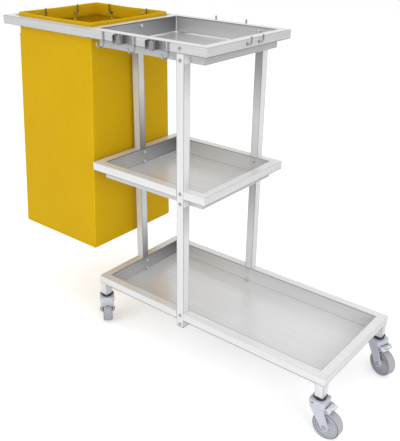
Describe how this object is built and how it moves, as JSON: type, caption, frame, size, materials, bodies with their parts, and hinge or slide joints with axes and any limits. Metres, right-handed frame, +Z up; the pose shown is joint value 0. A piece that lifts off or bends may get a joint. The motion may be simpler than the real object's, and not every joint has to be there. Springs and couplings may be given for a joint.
{
  "type": "janitor cart",
  "caption": "Stainless janitor cart with stacked folded trays on square posts, a long base tray on swivel casters, tool hooks and clips, and a square bag hung in a hand loop.",
  "frame": {"origin": "on the floor, at the middle of the outline of the whole cart at rest", "axes": "+X along the cart, from the hand loop towards the open end of the base tray; +Y from the side with the tool hooks to the back; +Z up"},
  "size_m": [1.2482, 0.4417, 0.98],
  "materials": {
    "sheet_steel": "brushed stainless sheet and tube",
    "bright_wire": "polished wire",
    "spring_steel": "bright spring steel",
    "fastener": "bright stainless fasteners",
    "pedal": "bright plated pedal",
    "dark_plastic": "dark moulded plastic",
    "caster_plastic": "smooth pale grey moulding",
    "wheel_plastic": "grey moulded hub",
    "tyre": "grey non-marking rubber",
    "bag": "yellow coated fabric, satin"
  },
  "bodies": {
    "cart": {"base_tray": "sheet_steel", "leg_fl": "sheet_steel", "leg_fr": "sheet_steel", "leg_bl": "sheet_steel", "leg_br": "sheet_steel", "front_post": "sheet_steel", "back_post": "sheet_steel", "left_post": "sheet_steel", "post_caps": "dark_plastic", "middle_tray": "sheet_steel", "top_tray": "sheet_steel", "post_bolts": "fastener", "dome_nuts": "fastener", "handle_arm_front": "sheet_steel", "handle_arm_back": "sheet_steel", "handle_end_bar": "sheet_steel", "handle_plugs": "sheet_steel", "handle_screws": "fastener", "waste_bag": "bag", "bag_eyelets": "bright_wire", "bag_hooks": "bright_wire", "tool_hooks": "bright_wire", "tool_clip_left": "spring_steel", "tool_clip_right": "spring_steel", "clip_screws": "fastener", "side_hooks": "bright_wire", "back_hooks": "bright_wire", "leg_plugs": "dark_plastic", "caster_stems": "fastener", "swivel_washers": "dark_plastic"},
    "caster_fl": {"fork_fl": "caster_plastic", "axle_sleeve_fl": "fastener", "axle_bolt_fl": "fastener", "axle_nut_fl": "fastener"},
    "wheel_fl": {"wheel_hub_fl": "wheel_plastic", "tyre_fl": "tyre"},
    "caster_fr": {"fork_fr": "caster_plastic", "axle_sleeve_fr": "fastener", "axle_bolt_fr": "fastener", "axle_nut_fr": "fastener", "brake_pin_fr": "fastener"},
    "wheel_fr": {"wheel_hub_fr": "wheel_plastic", "tyre_fr": "tyre"},
    "caster_bl": {"fork_bl": "caster_plastic", "axle_sleeve_bl": "fastener", "axle_bolt_bl": "fastener", "axle_nut_bl": "fastener"},
    "wheel_bl": {"wheel_hub_bl": "wheel_plastic", "tyre_bl": "tyre"},
    "caster_br": {"fork_br": "caster_plastic", "axle_sleeve_br": "fastener", "axle_bolt_br": "fastener", "axle_nut_br": "fastener", "brake_pin_br": "fastener"},
    "wheel_br": {"wheel_hub_br": "wheel_plastic", "tyre_br": "tyre"},
    "pedal_fr": {"brake_pedal_fr": "pedal"},
    "pedal_br": {"brake_pedal_br": "pedal"}
  },
  "joints": [
    {"name": "swivel_fl", "type": "hinge", "parent": "cart", "child": "caster_fl", "pos_m": [-0.24245, -0.17746, 0.1], "axis": [0, 0, 1], "continuous": true},
    {"name": "roll_fl", "type": "hinge", "parent": "caster_fl", "child": "wheel_fl", "pos_m": [-0.264, -0.15806, 0.04], "axis": [-0.6691, -0.7431, 0], "continuous": true},
    {"name": "swivel_fr", "type": "hinge", "parent": "cart", "child": "caster_fr", "pos_m": [0.55515, -0.17746, 0.1], "axis": [0, 0, 1], "continuous": true},
    {"name": "roll_fr", "type": "hinge", "parent": "caster_fr", "child": "wheel_fr", "pos_m": [0.58415, -0.17746, 0.04], "axis": [0, 1, 0], "continuous": true},
    {"name": "brake_fr", "type": "hinge", "parent": "caster_fr", "child": "pedal_fr", "pos_m": [0.58415, -0.17746, 0.091], "axis": [0, 1, 0], "range_deg": [0, 15]},
    {"name": "swivel_bl", "type": "hinge", "parent": "cart", "child": "caster_bl", "pos_m": [-0.24245, 0.17514, 0.1], "axis": [0, 0, 1], "continuous": true},
    {"name": "roll_bl", "type": "hinge", "parent": "caster_bl", "child": "wheel_bl", "pos_m": [-0.26756, 0.18964, 0.04], "axis": [-0.5, -0.866, 0], "continuous": true},
    {"name": "swivel_br", "type": "hinge", "parent": "cart", "child": "caster_br", "pos_m": [0.55515, 0.17514, 0.1], "axis": [0, 0, 1], "continuous": true},
    {"name": "roll_br", "type": "hinge", "parent": "caster_br", "child": "wheel_br", "pos_m": [0.58222, 0.16475, 0.04], "axis": [0.3584, 0.9336, 0], "continuous": true},
    {"name": "brake_br", "type": "hinge", "parent": "caster_br", "child": "pedal_br", "pos_m": [0.58222, 0.16475, 0.091], "axis": [0.3584, 0.9336, 0], "range_deg": [0, 15]}
  ]
}
